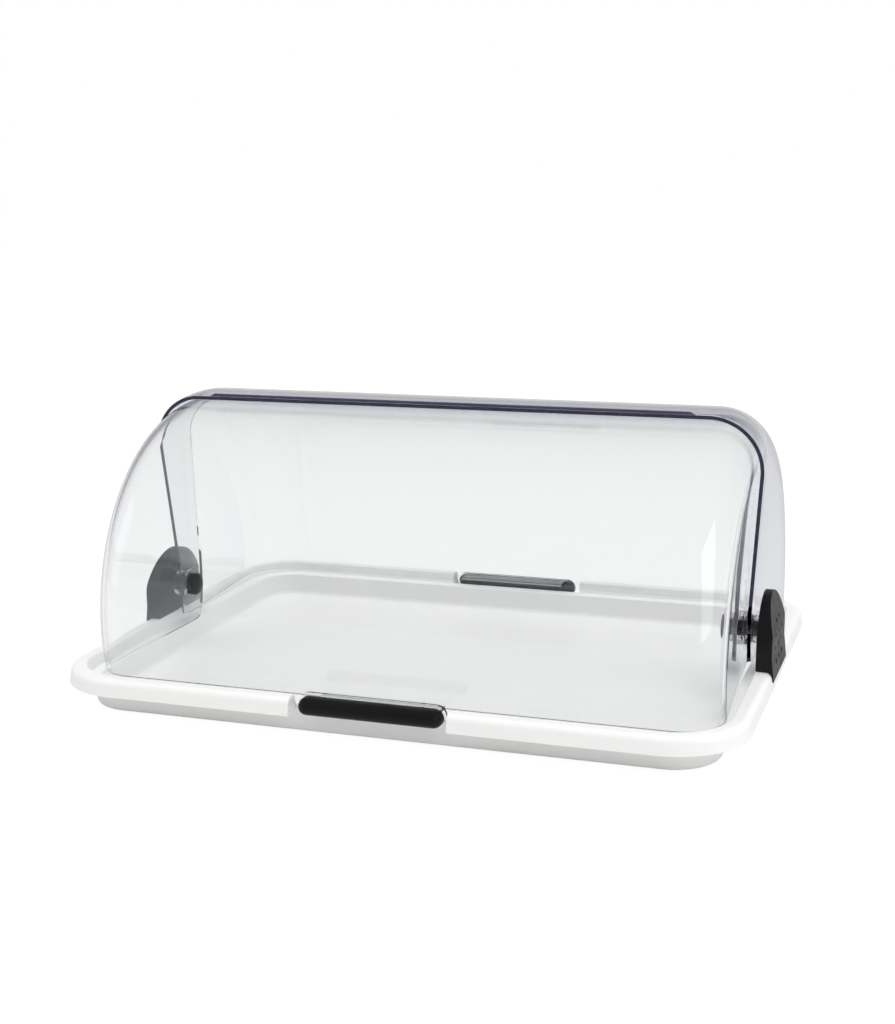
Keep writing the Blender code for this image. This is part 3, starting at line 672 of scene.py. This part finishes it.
def build_ridge():
    """The raised finger ridge along the top of the rear cover's free edge, coloured with painted shade: an
    opaque dark violet in place of clear plastic.
    """
    edge = COVER_OVERLAP + COVER_EDGE_LEAN * REAR_RADIUS
    crown = PIVOT_HEIGHT + math.sqrt(REAR_RADIUS ** 2 - edge ** 2)
    low = crown + 0.0001
    high = crown + RIDGE_HEIGHT
    top_half = RIDGE_HALF - RIDGE_TAPER
    outline = [(-RIDGE_HALF, low), (RIDGE_HALF, low), (top_half, high), (-top_half, high)]
    ridge = make_piece("rear_cover_finger_ridge", prism(outline, -edge, RIDGE_THICKNESS - edge, along_y),
                       [RIDGE])
    round_edges(ridge, width=0.0006, segments=3, above=40)
    finish_piece(ridge, "rear_cover", [])


# Handles

def build_grip(end, sign):
    """A black bar with round ends and a crowned front."""
    form = bmesh.new()
    middle = GRIP_BOTTOM + GRIP_HEIGHT / 2
    back = GRIP_FRONT - GRIP_DEPTH
    levels = [(back, 0.0005), (back + 0.0005, 0)]
    for i in range(12):
        turn = QUARTER_TURN * i / 11
        levels.append((GRIP_FRONT - GRIP_BULGE_DEPTH * (1 - math.sin(turn)),
                       GRIP_BULGE_HEIGHT * (1 - math.cos(turn))))
    rings = []
    for y, inset in levels:
        outline = stadium(GRIP_LENGTH - 2 * inset, GRIP_HEIGHT - 2 * inset, middle)
        rings.append([form.verts.new((x, sign * y, z)) for x, z in outline])
    skin(form, rings)
    form.faces.new(rings[0])
    form.faces.new(rings[-1])
    grip = make_piece(end + "_finger_grip", form, [BLACK])
    finish_piece(grip, end + "_cover", [end + "_handle_grip"])


def screw_form(place):
    """A low domed screw with a cross recess; its head's underside is at the origin, its shank in +X."""
    dome = [(-SCREW_HEAD_HEIGHT * math.cos(t), SCREW_HEAD_RADIUS * math.sin(t))
            for t in (QUARTER_TURN * i / 6 for i in range(7))]
    shank = [(0, SCREW_RADIUS), (SCREW_LENGTH - SCREW_RADIUS, SCREW_RADIUS), (SCREW_LENGTH - GAP, 0)]
    return turned(dome + shank, 24, place)


def build_screw(name, node, place, body, steel):
    screw = make_piece(name, screw_form(place), [steel])
    arm, width, depth = 0.0015, 0.00035, 0.0009
    for long_y in (True, False):
        half = (arm, width) if long_y else (width, arm)
        outline = [(-half[0], -half[1]), (half[0], -half[1]), (half[0], half[1]), (-half[0], half[1])]
        slot = prism(outline, -SCREW_HEAD_HEIGHT - 0.001, depth - SCREW_HEAD_HEIGHT, along_x)
        bmesh.ops.transform(slot, matrix=place, verts=slot.verts)
        cut(screw, slot)
    finish_piece(screw, body, [node])


def build_handle(end, sign):
    build_grip(end, sign)
    for side, _ in SIDES:
        node = f"{end}_handle_screw_{side}"
        low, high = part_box(node)
        place = Matrix.Translation(((low.x + high.x) / 2, sign * (PLATE_BACK - GAP), (low.z + high.z) / 2))
        place = place @ Matrix.Rotation(sign * QUARTER_TURN, 4, "Z")
        build_screw(f"{end}_{side}_grip_screw", node, place, end + "_cover", DARK_STEEL)


# Brackets and pins

def bracket_face(height):
    """How far the bracket's outer face is from the middle: upright, then leaning in."""
    shoulder = BRACKET_BASE + BRACKET_SHOULDER
    lean = (BRACKET_THICKNESS - BRACKET_CROWN_THICKNESS) / (BRACKET_TOP - shoulder)
    return BRACKET_INNER + BRACKET_THICKNESS - lean * max(height - shoulder, 0)


def bracket_section():
    """The bracket seen along Y: it sits on the rim, and its skirt laps over the rim's outer side."""
    tip = RIM_HEIGHT - BRACKET_SKIRT_DROP
    lean = RIM_DRAFT * (tip - SKIRT_BOTTOM) / (SKIRT_HEIGHT - RIM_EDGE_RADIUS)
    rim_side = TRAY_WIDTH / 2 + BRACKET_SKIRT_GAP - lean
    edge = arc(TRAY_WIDTH / 2 - RIM_DRAFT - RIM_EDGE_RADIUS, RIM_HEIGHT - RIM_EDGE_RADIUS,
               RIM_EDGE_RADIUS + BRACKET_SKIRT_GAP, QUARTER_TURN, 0, 8)
    edge[0] = (edge[0][0], BRACKET_BASE)
    skirt = rim_side + BRACKET_SKIRT_THICKNESS
    top = BRACKET_TOP + CUT_OVERRUN
    rise = [(BRACKET_BASE + BRACKET_FLARE) + (BRACKET_SHOULDER - BRACKET_FLARE) * i / 4 for i in range(5)]
    rise += [BRACKET_BASE + BRACKET_SHOULDER + 0.008, top]
    face = [(bracket_face(height), height) for height in rise]
    return [(BRACKET_INNER, BRACKET_BASE)] + edge + [(rim_side, tip), (skirt, tip)] + face + \
        [(BRACKET_INNER, top)]


def bracket_arch():
    half = BRACKET_DEPTH / 2
    low = RIM_HEIGHT - BRACKET_SKIRT_DROP - CUT_OVERRUN
    return [(-half, low), (half, low)] + arc(0, BRACKET_TOP - half, half, 0, HALF_TURN, 48)


def dimple_form(x_sign):
    """All the dimples of one bracket: round cups with a broken rim, sunk in its outer face."""
    cups = []
    for margin, count in DIMPLE_ROWS:
        height = BRACKET_BASE + margin
        face = bracket_face(height)
        mouth = face + CUT_OVERRUN
        profile = [(mouth, 0), (mouth, 0.0024), (face, 0.0022), (face - 0.0004, 0.0018),
                   (face - 0.0018, 0.0015), (face - 0.0021, 0)]
        profile = [(x_sign * x, radius) for x, radius in profile]
        for column in range(count):
            across = DIMPLE_PITCH * (column - (count - 1) / 2)
            cups.append(turned(profile, 20, Matrix.Translation((0, across, height))))
    return joined(*cups)


def build_bracket(side, x_sign):
    outline = [(x_sign * a, b) for a, b in bracket_section()]
    half = BRACKET_DEPTH / 2 + CUT_OVERRUN
    bracket = make_piece(side + "_side_bracket", prism(outline, -half, half, along_y), [BLACK])
    inner, outer = BRACKET_INNER - CUT_OVERRUN, TRAY_WIDTH / 2 + CUT_OVERRUN
    cut(bracket, prism(bracket_arch(), x_sign * inner, x_sign * outer, along_x), "INTERSECT")
    round_edges(bracket, width=0.0016, segments=5, above=45)
    cut(bracket, dimple_form(x_sign))
    finish_piece(bracket, "base", [side + "_bracket"])


def pivot_place():
    return Matrix.Translation((0, 0, PIVOT_HEIGHT))


def build_pin(side, x_sign):
    """A pin with a mushroom head inside the case, a shaft through both covers and a slim tail."""
    hub = FRONT_HALF - COVER_DISH
    shoulder = hub - COVER_WALL - GAP
    rim = shoulder - PIN_HEAD_HEIGHT / 4
    crown = [(rim - PIN_HEAD_HEIGHT * 0.75 * math.cos(t), PIN_HEAD_RADIUS * math.sin(t))
             for t in (QUARTER_TURN * i / 12 for i in range(12))]
    tail = BRACKET_INNER - GAP
    profile = crown + [(rim, PIN_HEAD_RADIUS), (shoulder - 0.0004, PIN_HEAD_RADIUS),
                       (shoulder, PIN_HEAD_RADIUS - 0.0004), (shoulder, PIN_RADIUS), (tail, PIN_RADIUS),
                       (tail, PIN_TAIL_RADIUS), (tail + PIN_TAIL_LENGTH, PIN_TAIL_RADIUS),
                       (tail + PIN_TAIL_LENGTH, 0)]
    profile = [(x_sign * x, radius) for x, radius in profile]
    pin = make_piece(side + "_mushroom_pin", turned(profile, 64, pivot_place()), [BLACK])
    finish_piece(pin, "base", [side + "_pivot_pin"])


def build_ring(name, node, x_sign, start, end, radius):
    """A clear ring on the pin, with its outer edges broken."""
    bore, soft = PIN_RADIUS + GAP, 0.0005
    low, high = x_sign * (start + GAP), x_sign * (end - GAP)
    inner_low, inner_high = low + x_sign * soft, high - x_sign * soft
    profile = [(low, bore), (high, bore), (high, radius - soft), (inner_high, radius),
               (inner_low, radius), (low, radius - soft)]
    ring = make_piece(name, turned(profile, 64, pivot_place()), [CLEAR])
    finish_piece(ring, "base", [node])


def build_side(side, x_sign):
    build_bracket(side, x_sign)
    build_pin(side, x_sign)
    front_hub = FRONT_HALF - COVER_DISH
    rear_hub = REAR_HALF - COVER_DISH
    build_ring(side + "_spacer_ring", side + "_cover_spacer", x_sign, front_hub, rear_hub - COVER_WALL,
               SPACER_RADIUS)
    build_ring(side + "_hub_ring", side + "_bracket_collar", x_sign, rear_hub, BRACKET_INNER, COLLAR_RADIUS)
    for end, _ in ENDS:
        node = f"{side}_bracket_screw_{end}"
        low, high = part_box(node)
        place = Matrix.Translation(((low.x + high.x) / 2, (low.y + high.y) / 2,
                                    RIM_HEIGHT - TRAY_WALL - GAP))
        place = place @ Matrix.Rotation(-QUARTER_TURN, 4, "Y")
        build_screw(f"{side}_{end}_rim_screw", node, place, "base", STEEL)


# Studio

def seen_rays(tree):
    """1 for the rays that show the backdrop: camera, glossy and transmission rays."""
    rays = add_node(tree, "LightPath").outputs
    first = add_node(tree, "Math", {"operation": "MAXIMUM"}, i0=rays["Is Camera Ray"],
                     i1=rays["Is Glossy Ray"])
    return add_node(tree, "Math", {"operation": "MAXIMUM"}, i0=first.outputs[0],
                    i1=rays["Is Transmission Ray"]).outputs[0]


def mirrored_rays(tree):
    """1 for the rays that a glossy surface mirrors, and 0 for those that pass through clear plastic."""
    rays = add_node(tree, "LightPath").outputs
    return add_node(tree, "Math", {"operation": "SUBTRACT", "use_clamp": True}, i0=rays["Is Glossy Ray"],
                    i1=rays["Is Transmission Ray"]).outputs[0]


def build_world():
    """Soft light from above and from the horizon, with a white backdrop where the camera sees it.

    Gloss mirrors a greyer backdrop, and a dim room above and in front. Through clear plastic the
    backdrop is white below the horizon and fades to a dimmer white just above it.
    """
    world = bpy.data.worlds.new("white_studio")
    world.use_nodes = True
    tree = world.node_tree
    tree.nodes.clear()
    look = add_node(tree, "SeparateXYZ", Vector=add_node(tree, "TexCoord").outputs["Generated"]).outputs
    horizon = ramp(tree, look["Z"], 0.0, 0.35, 1.15, 0.32)
    zenith = ramp(tree, look["Z"], 0.55, 0.95, 0.0, 0.95)
    strength = add_node(tree, "Math", {"operation": "ADD"}, i0=horizon, i1=zenith).outputs[0]
    fill = add_node(tree, "Background", Color=(0.985, 0.99, 1.0, 1), Strength=strength)
    rays = add_node(tree, "LightPath").outputs
    by_depth = ramp(tree, look["Y"], -0.7, 0.2, 0.35, 0.80)
    by_height = ramp(tree, look["Z"], 0.24, 0.42, 0.80, 0.35)
    room = add_node(tree, "Math", {"operation": "MINIMUM"}, i0=by_depth, i1=by_height).outputs[0]
    past_plastic = ramp(tree, look["Z"], -0.08, 0.10, 1.0, 0.40)
    beyond = add_node(tree, "Mix", {"data_type": "FLOAT"}, i0=rays["Is Transmission Ray"], i2=1.0,
                      i3=past_plastic).outputs[0]
    seen = add_node(tree, "Mix", {"data_type": "FLOAT"}, i0=mirrored_rays(tree), i2=beyond, i3=room)
    white = add_node(tree, "Background", Color=(1, 1, 1, 1), Strength=seen.outputs[0])
    mixed = add_node(tree, "MixShader", i0=seen_rays(tree), i1=fill.outputs[0], i2=white.outputs[0])
    output = add_node(tree, "OutputWorld")
    tree.links.new(mixed.outputs[0], output.inputs["Surface"])
    bpy.context.scene.world = world


def build_floor():
    """A pale floor that reads as white, takes a soft shadow and is dimmer where gloss mirrors it."""
    material, tree, shader = new_material("studio_floor")
    tinted = use_group(tree, TONE_DRIFT, Colour=(0.95, 0.95, 0.95, 1), Deep_Colour=(0.94, 0.94, 0.94, 1),
                       Scale=3.0, Share=0.5)
    tree.links.new(tinted, shader.inputs["Base Color"])
    shader.inputs["Roughness"].default_value = 0.9
    shader.inputs["Specular IOR Level"].default_value = 0.0
    bright = add_node(tree, "Mix", {"data_type": "FLOAT"}, i0=mirrored_rays(tree), i2=1.10, i3=0.62)
    glow = add_node(tree, "Emission", Color=(1, 1, 1, 1), Strength=bright.outputs[0])
    share = add_node(tree, "Math", {"operation": "MULTIPLY"}, i0=seen_rays(tree), i1=0.85)
    mixed = add_node(tree, "MixShader", i0=share.outputs[0], i1=shader.outputs[0], i2=glow.outputs[0])
    tree.links.new(mixed.outputs[0], tree.nodes["Material Output"].inputs["Surface"])
    form = bmesh.new()
    bmesh.ops.create_grid(form, x_segments=8, y_segments=8, size=6.0)
    floor = make_piece("studio_floor", form, [material])


def soft_lamp(name, place, target, size, watts, in_gloss=True):
    lamp = bpy.data.lights.new(name, "AREA")
    lamp.shape = "RECTANGLE"
    lamp.size, lamp.size_y = size
    lamp.energy = watts
    holder = bpy.data.objects.new(name, lamp)
    holder.location = place
    holder.rotation_euler = (Vector(target) - Vector(place)).to_track_quat("-Z", "Y").to_euler()
    holder.visible_glossy = in_gloss
    holder.visible_transmission = in_gloss
    bpy.context.scene.collection.objects.link(holder)


def build_studio():
    build_world()
    build_floor()
    soft_lamp("top_softbox", (0.0, 0.1, 1.9), (0, 0, 0), (1.9, 1.3), 16, in_gloss=False)
    soft_lamp("left_softbox", (-1.7, -1.0, 0.9), (0, 0, 0.1), (0.9, 1.4), 3)
    soft_lamp("right_softbox", (1.9, -0.7, 0.9), (0, 0, 0.1), (1.1, 1.7), 10)


def build_camera():
    """The camera that took the photograph, from the case's own proportions."""
    yaw, pitch, roll = math.radians(18.99), math.radians(14.72), math.radians(-0.70)
    forward = Vector((-math.sin(yaw) * math.cos(pitch), math.cos(yaw) * math.cos(pitch), -math.sin(pitch)))
    level = Vector((math.cos(yaw), math.sin(yaw), 0))
    rise = level.cross(forward)
    right = level * math.cos(roll) + rise * math.sin(roll)
    up = rise * math.cos(roll) - level * math.sin(roll)
    camera = bpy.data.cameras.new("photo_camera")
    camera.sensor_fit = "HORIZONTAL"
    camera.sensor_width = 36.0
    camera.lens = 64.909
    camera.shift_y = 0.076
    camera.clip_end = 50.0
    place = Vector((0.43175, -1.26838, 0.43232))
    holder = bpy.data.objects.new("photo_camera", camera)
    holder.matrix_world = Matrix((
        (right.x, up.x, -forward.x, place.x),
        (right.y, up.y, -forward.y, place.y),
        (right.z, up.z, -forward.z, place.z),
        (0, 0, 0, 1)))
    bpy.context.scene.collection.objects.link(holder)
    bpy.context.scene.camera = holder
    bpy.context.scene.view_settings.view_transform = "Standard"


def main():
    build_camera()
    build_studio()
    build_tray()
    build_feet()
    build_cover("front", -1, FRONT_HALF, FRONT_RADIUS, FRONT_EDGE_RADIUS, FRONT_LOBE)
    build_cover("rear", 1, REAR_HALF, REAR_RADIUS, REAR_EDGE_RADIUS, REAR_LOBE)
    build_ridge()
    for end, sign in ENDS:
        build_handle(end, sign)
    for side, x_sign in SIDES:
        build_side(side, x_sign)


main()
